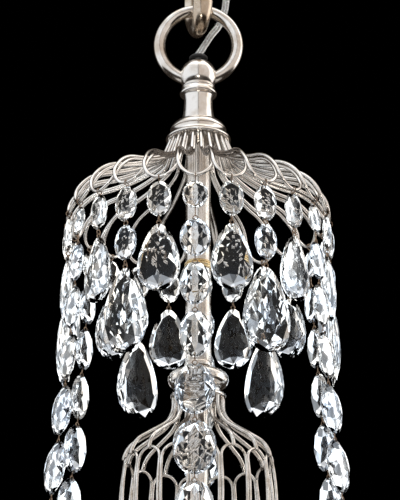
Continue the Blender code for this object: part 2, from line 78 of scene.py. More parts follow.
MM = 0.001
UP = Vector((0, 0, 1))

# ---- driving dimensions; starts are (radius, depth), stretches are (length, turn)
LOOPS = 24
LOOP_PITCH = 2 * math.pi / LOOPS
CROWN_TURN = math.radians(-1.2)
CROWN_START = (19.93 * MM, 143.0 * MM)
CROWN_HEADING = math.radians(68.6)
CROWN_STRETCHES = (
    (21.5 * MM, 0.0),
    (3.3 * MM, math.radians(-34.9)),
    (47.4 * MM, math.radians(-21.8)),
    (45.3 * MM, math.radians(73.9)),
)
LOOP_LENGTH = 16.0 * MM
LOOP_HALF = 12.9 * MM
LOOP_LIFT = 1.45 * MM
LEG_LIFT = 0.8 * MM
LEG_GAPS = (1.2 * MM, 0.45 * MM)
CROWN_WIRE = 1.36 * MM

ARCHES = 16
ARCH_PITCH = 2 * math.pi / ARCHES
ARCH_TURN = math.radians(5)
ARCH_RADIUS = 10.1 * MM
ARCH_WIRE = 1.15 * MM
ARCH_LEG_GAP = -1.2 * MM
RIB_WIRE = 1.6 * MM
RIB_START = (18.4 * MM, 355.2 * MM)
RIB_STRETCHES = (
    (4.3 * MM, 0.0),
    (22.3 * MM, math.radians(-58)),
    (20.0 * MM, 0.0),
    (17.0 * MM, math.radians(48)),
)
ARCH_START = (54.0 * MM, 402.0 * MM)
ARCH_HEADING = math.radians(78)
ARCH_STRETCHES = (
    (34.0 * MM, math.radians(12)),
    (55.0 * MM, math.radians(25)),
    (36.0 * MM, math.radians(65)),
)

HOOP_WIRE = 1.5 * MM
HOOP_DEPTH = 518.0 * MM

# crystals are (width, thickness, height); pears are listed by the number of ovals above them
OVAL = (18.4 * MM, 6.6 * MM, 27.0 * MM)
OVAL_TOP = 3.6 * MM
OVAL_STEP = 29.8 * MM
PEARS = {1: (31.6 * MM, 9.6 * MM, 50.4 * MM), 2: (37.2 * MM, 11.2 * MM, 63.8 * MM)}
PEAR_TOP = 2.9 * MM
PEAR_PINCH = 0.5
PEAR_CUTS = 10
HALF_GIRDLE = 0.35 * MM

PIN = 0.4 * MM
PIN_INSET = 2.4 * MM
PIN_BITE = 0.1 * MM
HOOK_EYE = 2.3 * MM
HOOK_EYE_DEPTH = 0.65 * MM
OVAL_EYE = 1.7 * MM
PEAR_EYE = 1.6 * MM
HOOP_EYE = 2.7 * MM

BEADS = 8
TALLEST_BEAD = 5
BEAD_HEIGHTS = (19.8 * MM, 37.6 * MM)
BEAD_TAPER = 4.6 * MM
BEAD_TOP = 5.6 * MM
FIRST_BEAD_GAP = 9.4 * MM
LAST_BEAD_GAP = 5.5 * MM
BEAD_EYE = 1.8 * MM
BEAD_INSET = 2.2 * MM

CAMERA_PLACE = (0.0013, -1.3703, -0.7399)
CAMERA_TILT = 0.352
CAMERA_LENS = 136.8


# ================================================================ mesh building

class Shape:
    """Collects faces with a material number each, then becomes one object."""

    def __init__(self):
        self.mesh = bmesh.new()

    def ring(self, points):
        return [self.mesh.verts.new(point) for point in points]

    def face(self, corners, slot=0, smooth=True):
        face = self.mesh.faces.new(corners)
        face.material_index = slot
        face.smooth = smooth

    def bridge(self, first, second, slot=0, smooth=True):
        """Quads between two rings of equal count."""
        count = len(first)
        for index in range(count):
            after = (index + 1) % count
            self.face((first[index], first[after], second[after], second[index]), slot, smooth)

    def tube(self, points, radius, sides=10, closed=False, slot=0, section=None):
        """Sweeps a round or oval section along points; section(i) gives its two half axes."""
        count = len(points)
        rings = []
        side = None
        for index, point in enumerate(points):
            before = points[index - 1] if index or closed else point
            after = points[(index + 1) % count] if index < count - 1 or closed else point
            tangent = (after - before).normalized()
            if side is None:
                side = tangent.orthogonal().normalized()
                if section:
                    side = section.first_side
            side = (side - tangent * side.dot(tangent)).normalized()
            other = tangent.cross(side)
            wide, deep = section(index) if section else (radius, radius)
            corners = []
            for step in range(sides):
                angle = 2 * math.pi * step / sides
                corners.append(point + side * wide * math.cos(angle) + other * deep * math.sin(angle))
            rings.append(self.ring(corners))
        for first, second in zip(rings, rings[1:]):
            self.bridge(first, second, slot)
        if closed:
            self.close_loop(rings[-1], rings[0], slot)
        else:
            self.face(list(reversed(rings[0])), slot)
            self.face(rings[-1], slot)

    def close_loop(self, last, first, slot):
        """Joins the ends of a closed tube where their corners lie nearest."""
        count = len(first)
        best = min(range(count), key=lambda turn: (last[0].co - first[turn].co).length)
        self.bridge(last, [first[(index + best) % count] for index in range(count)], slot)

    def lathe(self, outline, segments=96, slot=0):
        """Revolves (radius, depth) points; an outline that leaves the axis open is closed."""
        rings = []
        for radius, depth in outline:
            if radius <= 0:
                rings.append(self.ring([Vector((0, 0, -depth))]))
                continue
            rings.append(self.ring([polar(radius, 2 * math.pi * step / segments, depth)
                                    for step in range(segments)]))
        pairs = list(zip(rings, rings[1:]))
        if len(rings[0]) > 1:
            pairs.append((rings[-1], rings[0]))
        for first, second in pairs:
            if len(first) == 1:
                for index in range(len(second)):
                    self.face((first[0], second[index], second[(index + 1) % len(second)]), slot)
            elif len(second) == 1:
                for index in range(len(first)):
                    self.face((first[index], second[0], first[(index + 1) % len(first)]), slot)
            else:
                self.bridge(first, second, slot)

    def transform(self, matrix):
        bmesh.ops.transform(self.mesh, matrix=matrix, verts=self.mesh.verts)

    def to_mesh(self, name, materials, sharp=40):
        bmesh.ops.recalc_face_normals(self.mesh, faces=self.mesh.faces)
        data = bpy.data.meshes.new(name)
        self.mesh.to_mesh(data)
        rounded = [face.smooth for face in self.mesh.faces]
        self.mesh.free()
        data.set_sharp_from_angle(angle=math.radians(sharp))
        data.polygons.foreach_set("use_smooth", rounded)
        for material in materials:
            data.materials.append(material)
        return data


def polar(radius, azimuth, depth):
    return Vector((radius * math.sin(azimuth), -radius * math.cos(azimuth), -depth))


def place(name, data, node, matrix=None):
    """Shows a mesh in a CAD node's stead, on that node's body."""
    piece = bpy.data.objects.new(name, data)
    bpy.context.scene.collection.objects.link(piece)
    if matrix:
        piece.matrix_world = matrix
    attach(piece, frame["nodes"][node]["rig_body"])
    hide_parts(node)
    return piece


def arc(centre, radius, start, end, steps=8):
    """Points of a profile arc; degrees from outwards, growing upwards."""
    points = []
    for step in range(steps + 1):
        angle = math.radians(start + (end - start) * step / steps)
        points.append((centre[0] + radius * math.cos(angle), centre[1] - radius * math.sin(angle)))
    return points


def smooth_path(points, steps=6):
    """A Catmull-Rom curve through the points."""
    padded = [points[0] * 2 - points[1], *points, points[-1] * 2 - points[-2]]
    path = []
    for index in range(1, len(padded) - 2):
        a, b, c, d = padded[index - 1:index + 3]
        for step in range(steps):
            t = step / steps
            path.append(0.5 * (2 * b + (c - a) * t + (2 * a - 5 * b + 4 * c - d) * t * t
                               + (3 * b - a - 3 * c + d) * t * t * t))
    path.append(points[-1])
    return path


def trace(start, heading, stretches, distance):
    """Radius, depth and heading along a path of straight and curved stretches."""
    radius, depth = start
    for length, turn in stretches:
        step = min(distance, length)
        bend = turn * step / length
        if turn:
            curve = length / turn
            radius += curve * (math.sin(heading + bend) - math.sin(heading))
            depth += curve * (math.cos(heading) - math.cos(heading + bend))
        else:
            radius += step * math.cos(heading)
            depth += step * math.sin(heading)
        heading += bend
        distance -= step
    return radius, depth, heading


def path_length(stretches):
    return sum(length for length, _ in stretches)


# ================================================================ materials

class Nodes:
    """Short forms for wiring a node material."""

    def __init__(self, name):
        self.material = bpy.data.materials.new(name)
        self.material.use_nodes = True
        self.tree = self.material.node_tree
        self.shader = self.tree.nodes["Principled BSDF"]
        self.output = self.tree.nodes["Material Output"]
        self.place = self.add("ShaderNodeTexCoord").outputs["Object"]

    def add(self, kind, **values):
        node = self.tree.nodes.new(kind)
        for key, value in values.items():
            if hasattr(node, key):
                setattr(node, key, value)
            else:
                node.inputs[key.replace("_", " ")].default_value = value
        return node

    def link(self, source, target):
        self.tree.links.new(source, target)

    def noise(self, scale, detail=3.0, stretch=None):
        node = self.add("ShaderNodeTexNoise", Scale=scale, Detail=detail)
        source = self.place
        if stretch:
            mapping = self.add("ShaderNodeMapping")
            mapping.inputs["Scale"].default_value = stretch
            self.link(source, mapping.inputs["Vector"])
            source = mapping.outputs["Vector"]
        self.link(source, node.inputs["Vector"])
        return node.outputs["Fac"]

    def ramp(self, source, low, high, start=0.35, end=0.65):
        """Colour from low to high as the source crosses start to end."""
        node = self.add("ShaderNodeValToRGB")
        node.color_ramp.elements[0].position = start
        node.color_ramp.elements[1].position = end
        node.color_ramp.elements[0].color = (*low, 1)
        node.color_ramp.elements[1].color = (*high, 1)
        self.link(source, node.inputs["Fac"])
        return node.outputs["Color"]

    def spread(self, source, low, high):
        """Maps 0.3..0.7 of a noise onto low..high."""
        node = self.add("ShaderNodeMapRange")
        node.inputs["From Min"].default_value = 0.3
        node.inputs["From Max"].default_value = 0.7
        node.inputs["To Min"].default_value = low
        node.inputs["To Max"].default_value = high
        self.link(source, node.inputs["Value"])
        return node.outputs["Result"]

    def bump(self, source, height, strength=0.5):
        node = self.add("ShaderNodeBump", Strength=strength, Distance=height)
        self.link(source, node.inputs["Height"])
        self.link(node.outputs["Normal"], self.shader.inputs["Normal"])


def plated(name, bright, dull, rough=(0.1, 0.26), wear=0.5):
    """Polished plate: tone drifts towards tarnish, fine polishing marks, uneven gloss."""
    n = Nodes(name)
    n.shader.inputs["Metallic"].default_value = 1.0
    n.link(n.ramp(n.noise(70, 5), dull, bright, wear - 0.2, wear + 0.1), n.shader.inputs["Base Color"])
    n.link(n.spread(n.noise(180, 4), *rough), n.shader.inputs["Roughness"])
    n.bump(n.noise(2600, 2, stretch=(1, 1, 0.25)), 0.00004, 0.35)
    return n.material


def cut_glass(name, ior=1.56):
    """Lead crystal whose outer skin has no mirror sheen, so that dark facets stay dark."""
    n = Nodes(name)
    n.tree.nodes.remove(n.shader)
    tint = n.ramp(n.noise(60), (0.93, 0.96, 1.0), (1.0, 0.985, 0.96))
    glass = n.add("ShaderNodeBsdfGlass", IOR=ior, Roughness=0.0)
    through = n.add("ShaderNodeBsdfRefraction", IOR=ior, Roughness=0.0)
    n.link(tint, glass.inputs["Color"])
    n.link(tint, through.inputs["Color"])
    skin = n.add("ShaderNodeMixShader")
    n.link(n.add("ShaderNodeLightPath").outputs["Is Camera Ray"], skin.inputs[0])
    n.link(glass.outputs[0], skin.inputs[1])
    n.link(through.outputs[0], skin.inputs[2])
    n.link(skin.outputs[0], n.output.inputs["Surface"])
    return n.material


def wire_silver(name, bright, dull, painted_edge_shade):
    """Plated wire with painted shade at its edges: brown is painted in where the edges would mirror the wires
    beside them.
    """
    n = Nodes(name)
    n.shader.inputs["Metallic"].default_value = 1.0
    # painted shade: the base colour turns brown towards grazing angles, a painted reflection of the
    # neighbouring wires
    facing = n.add("ShaderNodeLayerWeight", Blend=0.5).outputs["Facing"]
    edge = n.add("ShaderNodeMix")
    edge.data_type = "RGBA"
    n.link(n.spread(facing, 0.0, 1.0), edge.inputs["Factor"])
    n.link(n.ramp(n.noise(120), dull, bright), edge.inputs["A"])
    edge.inputs["B"].default_value = (*painted_edge_shade, 1)
    n.link(edge.outputs["Result"], n.shader.inputs["Base Color"])
    n.link(n.spread(n.noise(400), 0.10, 0.24), n.shader.inputs["Roughness"])
    return n.material


def pin_metal():
    n = Nodes("bronze_pin")
    n.shader.inputs["Metallic"].default_value = 1.0
    n.link(n.ramp(n.noise(500), (0.10, 0.065, 0.045), (0.42, 0.31, 0.22)), n.shader.inputs["Base Color"])
    n.link(n.spread(n.noise(900), 0.25, 0.45), n.shader.inputs["Roughness"])
    return n.material


def clear_sheath():
    n = Nodes("clear_sheath")
    n.shader.inputs["Base Color"].default_value = (0.93, 0.94, 0.94, 1)
    n.shader.inputs["Transmission Weight"].default_value = 0.75
    n.shader.inputs["IOR"].default_value = 1.5
    n.link(n.spread(n.noise(400), 0.12, 0.3), n.shader.inputs["Roughness"])
    n.bump(n.noise(300, 2, stretch=(1, 1, 0.1)), 0.0001, 0.3)
    return n.material


def tinned_core():
    n = Nodes("tinned_core")
    n.shader.inputs["Metallic"].default_value = 1.0
    n.link(n.ramp(n.noise(900), (0.45, 0.42, 0.38), (0.8, 0.78, 0.75)), n.shader.inputs["Base Color"])
    n.shader.inputs["Roughness"].default_value = 0.3
    return n.material


def black_rubber():
    n = Nodes("black_rubber")
    n.link(n.ramp(n.noise(600), (0.012, 0.012, 0.013), (0.03, 0.03, 0.032)), n.shader.inputs["Base Color"])
    n.link(n.spread(n.noise(500), 0.35, 0.6), n.shader.inputs["Roughness"])
    n.bump(n.noise(1500), 0.0001, 0.3)
    return n.material


def phenolic():
    n = Nodes("black_phenolic")
    n.link(n.ramp(n.noise(90, 5), (0.015, 0.012, 0.01), (0.035, 0.028, 0.024)), n.shader.inputs["Base Color"])
    n.link(n.spread(n.noise(300), 0.22, 0.4), n.shader.inputs["Roughness"])
    return n.material


def lamp_glass():
    n = Nodes("lamp_glass")
    n.shader.inputs["Base Color"].default_value = (0.97, 0.95, 0.9, 1)
    n.shader.inputs["Transmission Weight"].default_value = 1.0
    n.shader.inputs["IOR"].default_value = 1.45
    n.link(n.spread(n.noise(40), 0.0, 0.06), n.shader.inputs["Roughness"])
    return n.material


silver = plated("silver_plate", (0.86, 0.83, 0.79), (0.62, 0.54, 0.46))
aged_silver = plated("aged_silver", (0.74, 0.67, 0.57), (0.45, 0.34, 0.24), rough=(0.14, 0.32), wear=0.58)
brass = plated("polished_brass", (0.86, 0.68, 0.40), (0.6, 0.42, 0.2), rough=(0.12, 0.26))
crystal = cut_glass("cut_crystal")
bronze = pin_metal()


# ================================================================ hanging parts

def make_chain_link():
    """An oblong forged link; its flat bar narrows at both ends and swells under the ring."""
    low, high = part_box("chain_link")
    turn = math.radians(16)
    half_thick, half_wide = 4.85 * MM, 8.0 * MM
    bend, lower_swell = 13.2 * MM, 4.4 * MM
    top, foot = high.z - half_thick, low.z + half_thick
    curve_steps, straight_steps = 24, 10
    points, widths, depths = [], [], []
    for centre, start in ((top - bend, 0.0), (foot + bend, math.pi)):
        for step in range(curve_steps + 1):
            angle = start + math.pi * step / curve_steps
            swell = lower_swell * max(0.0, -math.sin(angle)) ** 2
            points.append(Vector((0, bend * math.cos(angle), centre + bend * math.sin(angle) - swell)))
            widths.append(half_wide * (1 - 0.16 * abs(math.sin(angle)) ** 3))
            depths.append(half_thick + swell)
    top_end, foot_start = points[curve_steps], points[curve_steps + 1]
    foot_end, top_start = points[-1], points[0]
    parts = [step / straight_steps for step in range(1, straight_steps)]
    points += [foot_end.lerp(top_start, part) for part in parts]
    points[curve_steps + 1:curve_steps + 1] = [top_end.lerp(foot_start, part) for part in parts]
    for halves, plain in ((widths, half_wide), (depths, half_thick)):
        halves += [plain] * len(parts)
        halves[curve_steps + 1:curve_steps + 1] = [plain] * len(parts)

    def section(index):
        return widths[index], depths[index]
    section.first_side = Vector((1, 0, 0))
    shape = Shape()
    shape.tube(points, half_thick, sides=24, closed=True, section=section)
    shape.transform(Matrix.Rotation(turn, 4, "Z"))
    place("oblong_link", shape.to_mesh("oblong_link", [aged_silver]), "chain_link")


def make_ring():
    low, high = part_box("hanging_ring")
    centre = (low + high) / 2
    bar = (high.y - low.y) / 2
    major = (high.x - low.x) / 2 - bar
    steps = 144
    points = []
    for step in range(steps):
        angle = 2 * math.pi * step / steps
        points.append(centre + Vector((major * math.cos(angle), 0, major * math.sin(angle))))
    shape = Shape()
    shape.tube(points, bar, sides=28, closed=True)
    place("suspension_ring", shape.to_mesh("suspension_ring", [silver]), "hanging_ring")


def make_cord():
    """Clear twin flex with a groove between its two tinned cores, cut square at the top."""
    visible = [(24, 9, 6), (22.6, 10, 16), (21.5, 10.5, 25), (18.8, 10.5, 34), (16, 9.5, 41),
               (10.5, 6.5, 50), (5.5, 3, 60), (2, 0.8, 67), (0, 0, 71), (0, 0, 76)]
    path = smooth_path([Vector((x, y, -depth)) * MM for x, y, depth in visible], 8)
    apart, sheath, wire, bare_end = 1.35 * MM, 1.42 * MM, 0.62 * MM, 4 * MM
    shape = Shape()
    for side in (-1, 1):
        core = []
        for index, point in enumerate(path):
            after = path[min(index + 1, len(path) - 1)]
            before = path[max(index - 1, 0)]
            across = (after - before).cross(Vector((0, 1, 0))).normalized()
            core.append(point + across * apart * side)
        shape.tube(core, sheath, sides=16)
        lead = core[0] + (core[0] - core[1]).normalized() * bare_end
        shape.tube([lead, *core], wire, sides=10, slot=1)
    place("twin_flex", shape.to_mesh("twin_flex", [clear_sheath(), tinned_core()]),
          "supply_cord")


def turned(name, node, outline, material, segments=96):
    """A lathe piece; outline radii and depths are in millimetres."""
    shape = Shape()
    shape.lathe([(radius * MM, depth * MM) for radius, depth in outline], segments)
    return place(name, shape.to_mesh(name, [material], 32), node)


def make_spindle():
    """Everything turned on the axis, from the grommet down to the cage cap."""
    grommet = [(3.0, 71.6), (4.4, 71.5), (6.2, 72.0), (7.3, 73.0), (7.5, 74.0), (7.0, 74.8),
               (5.4, 74.9), (3.0, 74.6)]
    turned("cord_bush", "cord_grommet", grommet, black_rubber())

    centre, radius = 89.9, 14.6
    foot = -math.degrees(math.asin((97.8 - centre) / radius))
    ball = [(3.1, 76.6)] + arc((0, centre), radius, 76, foot, 28) + [(11.4, 97.7), (11.4, 92.0)]
    ball += arc((0, centre), 12.0, -20, 72, 12)
    turned("ball_cap_shell", "ball_cap", ball, silver)

    neck = [(12.2, 98.1), (12.5, 98.9)] + arc((12.4, 100.0), 0.75, 60, -60, 5)
    neck += [(12.6, 101.3), (13.1, 102.6), (13.6, 103.4)] + arc((13.1, 105.3), 1.55, 65, -75, 8)
    neck += [(12.6, 107.1), (11.7, 107.4), (11.3, 108.2), (11.2, 112.0), (11.4, 117.0),
             (11.9, 122.0), (12.6, 126.0), (13.4, 129.0), (9.0, 129.0), (9.0, 98.1)]
    turned("turned_neck", "neck_spindle", neck, silver)

    collar = [(13.5, 129.2), (15.6, 129.9), (17.8, 131.0), (19.7, 132.6), (21.2, 134.6), (22.0, 136.4)]
    collar += arc((21.5, 136.9), 0.6, 30, -60, 4)
    collar += [(21.3, 137.7), (21.2, 138.8), (21.5, 140.2), (22.2, 141.6), (23.1, 142.8),
               (24.0, 143.5)]
    collar += arc((24.2, 144.8), 1.3, 75, -80, 8)
    collar += [(23.2, 146.0), (22.4, 145.2), (17.0, 145.2), (16.6, 146.4), (3.0, 146.4), (3.0, 129.3)]
    turned("crown_saucer", "crown_collar", collar, silver)

    upper_top, upper_foot = -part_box("upper_stem_tube")[1].z / MM, -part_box("upper_stem_tube")[0].z / MM
    stem = [(9.4, upper_top - 2.2), (9.6, upper_top - 2.0), (9.6, upper_foot - 0.3),
            (9.3, upper_foot), (7.8, upper_foot), (7.8, upper_top - 2.2)]
    turned("upper_stem", "upper_stem_tube", stem, silver)

    mid = (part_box("stem_coupling")[0].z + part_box("stem_coupling")[1].z) / -2 / MM
    coupling = [(9.2, mid - 2.7)] + arc((9.9, mid - 1.9), 0.7, 80, -30, 4)
    coupling += [(10.1, mid - 1.2)] + arc((9.9, mid), 0.85, 60, -60, 6)
    coupling += [(10.1, mid + 1.2)] + arc((9.9, mid + 1.9), 0.7, 30, -80, 4)
    coupling += [(9.2, mid + 2.7), (7.6, mid + 2.7), (7.6, mid - 2.7)]
    turned("coupling_ring", "stem_coupling", coupling, brass)

    top, foot = -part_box("lower_stem_tube")[1].z / MM, -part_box("lower_stem_tube")[0].z / MM
    shoulder = 331.4
    lower = [(9.3, top), (9.6, top + 0.3), (9.6, shoulder - 4.6), (10.3, shoulder - 3.6),
             (10.6, shoulder - 1.0), (7.7, shoulder), (7.7, foot), (5.0, foot), (5.0, top)]
    turned("lower_stem", "lower_stem_tube", lower, silver)

    centre = 340.6
    knop = [(8.1, centre - 6.4), (11.6, centre - 6.5), (12.8, centre - 5.9)]
    knop += arc((16.1, centre), 6.6, 95, -95, 24)
    knop += [(13.0, centre + 6.0), (12.0, centre + 6.5), (8.1, centre + 6.5)]
    turned("bun_knop_shell", "bun_knop", knop, silver)

    cap = [(11.6, 347.4), (12.0, 348.4), (12.9, 349.7), (14.8, 350.8), (17.2, 351.4), (18.2, 351.6)]
    cap += arc((18.9, 353.5), 1.8, 90, -80, 9)
    cap += [(17.9, 355.2), (17.6, 354.2), (8.1, 354.2), (8.1, 347.4)]
    turned("cage_flange", "cage_cap", cap, silver)


# ================================================================ wirework

def hairpin(shape, section, azimuth, half_pitch, loop, wire, legs, lift=(0.0, 0.0)):
    """A wire bent double whose legs run beside, or across, the neighbours' legs.

    section(u) gives radius, depth and heading at u from the round end. loop is the round end's
    half length and half width. legs is the overall length, then how far a leg lies beyond the
    line it shares with its neighbour: just after the round end, and at the far end. lift raises
    the left leg and lowers the right one: at the round end, and at the far end.
    """
    length, half = loop
    reach, near_gap, far_gap = legs
    near_lift, far_lift = lift
    first_gap = half - section(length)[0] * half_pitch
    curve_steps, leg_steps = 16, 40
    stations = []
    for step in range(curve_steps + 1):
        angle = math.pi / 2 * step / curve_steps
        rise = near_lift * math.sin(angle) ** 4
        stations.append((length * (1 - math.cos(angle)), half * math.sin(angle), rise))
    for step in range(1, leg_steps + 1):
        part = step / leg_steps
        along = length + (reach - length) * part
        ease = min(1.0, part * 8)
        gap = first_gap + (near_gap - first_gap) * ease * ease * (3 - 2 * ease)
        gap += (far_gap - near_gap) * part
        rise = near_lift + (far_lift - near_lift) * part
        stations.append((along, section(along)[0] * half_pitch + gap, rise))
    arms = []
    for side in (-1, 1):
        arm = []
        for along, across, rise in stations:
            radius, depth, heading = section(along)
            rise *= -side
            swung = azimuth + side * across / radius
            arm.append(polar(radius + rise * math.sin(heading), swung, depth - rise * math.cos(heading)))
        arms.append(arm)
    shape.tube(list(reversed(arms[0])) + arms[1][1:], wire, sides=10)


def make_crown():
    """Twenty-four wire loops; each one's left arm passes over its neighbour's right arm."""
    length = path_length(CROWN_STRETCHES)

    def section(from_hook):
        return trace(CROWN_START, CROWN_HEADING, CROWN_STRETCHES, length - from_hook)

    # the last colour is the painted shade at the wires' grazing edges
    crown_silver = wire_silver("crown_wire", (0.97, 0.95, 0.92), (0.78, 0.74, 0.69), (0.24, 0.20, 0.17))
    shape = Shape()
    for loop in range(LOOPS):
        hairpin(shape, section, loop * LOOP_PITCH + CROWN_TURN, LOOP_PITCH / 2, (LOOP_LENGTH, LOOP_HALF),
                CROWN_WIRE, (length, *LEG_GAPS), (LOOP_LIFT, LEG_LIFT))
    place("crown_loops", shape.to_mesh("crown_loops", [crown_silver]), "crown_wirework")
    return section(0.0)


def make_cage():
    """Sixteen ribs, each soldered to the top of an arch; arch legs run in pairs to the base."""
    def section(from_top):
        return trace(ARCH_START, ARCH_HEADING, ARCH_STRETCHES, from_top)

    # the last colour is the painted shade at the wires' grazing edges, darker here than on the crown
    cage_silver = wire_silver("cage_wire", (0.9, 0.87, 0.83), (0.62, 0.57, 0.51), (0.11, 0.08, 0.06))
    shape = Shape()
    rib_length = path_length(RIB_STRETCHES)
    rib_steps = 40
    overlap = 0.2 * MM
    for index in range(ARCHES):
        azimuth = ARCH_TURN + index * ARCH_PITCH
        hairpin(shape, section, azimuth, ARCH_PITCH / 2, (ARCH_RADIUS, ARCH_RADIUS), ARCH_WIRE,
                (path_length(ARCH_STRETCHES), ARCH_LEG_GAP, ARCH_LEG_GAP))
        rib = []
        for step in range(rib_steps + 1):
            radius, depth, _ = trace(RIB_START, math.pi / 2, RIB_STRETCHES, rib_length * step / rib_steps)
            rib.append(polar(radius, azimuth, depth))
        rib.append(polar(ARCH_START[0] + overlap, azimuth, ARCH_START[1] + overlap))
        shape.tube(rib, RIB_WIRE, sides=10)
    foot = -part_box("cage_wirework")[0].z / MM
    band = [(20.2, foot - 3.4), (20.2, foot - 0.2), (19.8, foot), (14.8, foot), (14.8, foot - 3.4)]
    shape.lathe([(radius * MM, depth * MM) for radius, depth in band])
    place("cage_wires", shape.to_mesh("cage_wires", [cage_silver]), "cage_wirework")


# ================================================================ crystal

def cut_outline(size, pinch, count, scale, shift, heart):
    """A ring of points on a crystal's outline, scaled towards its heart."""
    width, height = size
    levels = [step / 60 for step in range(61)]
    widest = max(math.sqrt(1 - (2 * level - 1) ** 2) * (1 - pinch * level) for level in levels)
    points = []
    for index in range(count):
        angle = 2 * math.pi * (index + shift) / count
        level = (1 + math.cos(angle)) / 2
        x = width / 2 * math.sin(angle) * (1 - pinch * level) / widest
        z = (level - 1) * height
        points.append((x * scale, heart + (z - heart) * scale))
    return points


def cut_crystal(shape, size, pinch=0.0, cuts=8, matrix=None):
    """A flat crystal: a star of facets on its outer face, a bevelled flat table on its inner face.

    Each ring of corners is the outline scaled towards the heart, at a rise in thicknesses.
    """
    width, thickness, height = size
    heart = -height * (0.5 + 0.2 * pinch)
    flat = (width, height)
    start = len(shape.mesh.verts)

    def ring(count, scale, rise, shift=0.0):
        return shape.ring([Vector((x, rise * thickness, z))
                           for x, z in cut_outline(flat, pinch, count, scale, shift, heart)])

    def fan(outer, inner):
        """Narrow facets between a fine outer ring and an inner ring with a quarter of its points."""
        for index in range(cuts):
            after = (index + 1) % cuts
            around = [outer[(4 * index + step) % (4 * cuts)] for step in range(5)]
            for step, (low, high) in enumerate(zip(around, around[1:])):
                shape.face((low, high, inner[index if step < 2 else after]), smooth=False)
            shape.face((around[2], inner[after], inner[index]), smooth=False)

    girdle = cut_outline(flat, pinch, cuts * 4, 1.0, 0.0, heart)
    front = shape.ring([Vector((x, -HALF_GIRDLE, z)) for x, z in girdle])
    back = shape.ring([Vector((x, HALF_GIRDLE, z)) for x, z in girdle])
    shape.bridge(front, back, smooth=False)
    outer_star = ring(cuts, 0.80, -0.25)
    inner_star = ring(cuts, 0.52, -0.42, 0.5)
    core = ring(cuts, 0.27, -0.50)
    fan(front, outer_star)
    peak = shape.mesh.verts.new(Vector((0, -0.52 * thickness, heart)))
    for index in range(cuts):
        after = (index + 1) % cuts
        shape.face((outer_star[index], outer_star[after], inner_star[index]), smooth=False)
        shape.face((inner_star[index], outer_star[after], inner_star[after]), smooth=False)
        shape.face((inner_star[index], inner_star[after], core[after]), smooth=False)
        shape.face((core[index], inner_star[index], core[after]), smooth=False)
        shape.face((core[index], core[after], peak), smooth=False)
    table = ring(cuts, 0.84, 0.24)
    fan(back, table)
    shape.face(table, smooth=False)
    if matrix:
        shape.mesh.verts.ensure_lookup_table()
        bmesh.ops.transform(shape.mesh, matrix=matrix, verts=shape.mesh.verts[start:])


def eye(shape, centre, radius, facing):
    """A wire eye whose plane's normal is facing."""
    side = facing.cross(UP).normalized()
    steps = 20
    points = []
    for step in range(steps):
        angle = 2 * math.pi * step / steps
        points.append(centre + (UP * math.cos(angle) + side * math.sin(angle)) * radius)
    shape.tube(points, PIN, sides=8, closed=True, slot=1)


def pin(shape, start, end):
    shape.tube([start, end], PIN, sides=8, slot=1)


OUTWARDS = Vector((0, -1, 0))
ALONG = Vector((1, 0, 0))


def drop_matrix(hook, azimuth, depth=0.0):
    return Matrix.Translation(polar(hook[0], azimuth, hook[1] + depth)) @ Matrix.Rotation(azimuth, 4, "Z")


def oval_link_mesh(ovals, pear_pivot):
    """One or two ovals on pins, an eye round the crown wire and an eye for the pear."""
    shape = Shape()
    hook_eye = -UP * HOOK_EYE_DEPTH
    eye(shape, hook_eye, HOOK_EYE, ALONG)
    top = OVAL_TOP
    pin(shape, hook_eye - UP * HOOK_EYE, -UP * (top + PIN_INSET))
    for index in range(ovals):
        cut_crystal(shape, OVAL, matrix=Matrix.Translation((0, 0, -top)))
        foot = top + OVAL[2]
        if index + 1 < ovals:
            middle = -UP * (foot + (OVAL_STEP - OVAL[2]) / 2)
            reach = OVAL_EYE - PIN_BITE
            pin(shape, -UP * (foot - PIN_INSET), middle + UP * reach)
            eye(shape, middle, OVAL_EYE, OUTWARDS)
            pin(shape, middle - UP * reach, -UP * (foot + OVAL_STEP - OVAL[2] + PIN_INSET))
            top += OVAL_STEP
    lower = -UP * (pear_pivot - PEAR_EYE / 2)
    pin(shape, -UP * (foot - PIN_INSET), lower + UP * (PEAR_EYE - PIN_BITE))
    eye(shape, lower, PEAR_EYE, ALONG)
    return shape.to_mesh(f"ovals_{ovals}", [crystal, bronze])


def pear_mesh(size):
    """A pear crystal with a wire eye; the origin is where the eye bears."""
    shape = Shape()
    eye(shape, -UP * PEAR_EYE, PEAR_EYE, OUTWARDS)
    pin(shape, -UP * 3.0 * MM, -UP * (PEAR_TOP + 3.5 * MM))
    cut_crystal(shape, size, PEAR_PINCH, PEAR_CUTS, Matrix.Translation((0, 0, -PEAR_TOP)))
    return shape.to_mesh("pear", [crystal, bronze])


def bead_heights():
    """The beads grow down to the sixth and shrink below it."""
    first, tallest = BEAD_HEIGHTS
    heights = []
    for index in range(BEADS):
        growth = math.sqrt(min(1, index / TALLEST_BEAD))
        heights.append(first + (tallest - first) * growth - BEAD_TAPER * max(0, index - TALLEST_BEAD))
    return heights


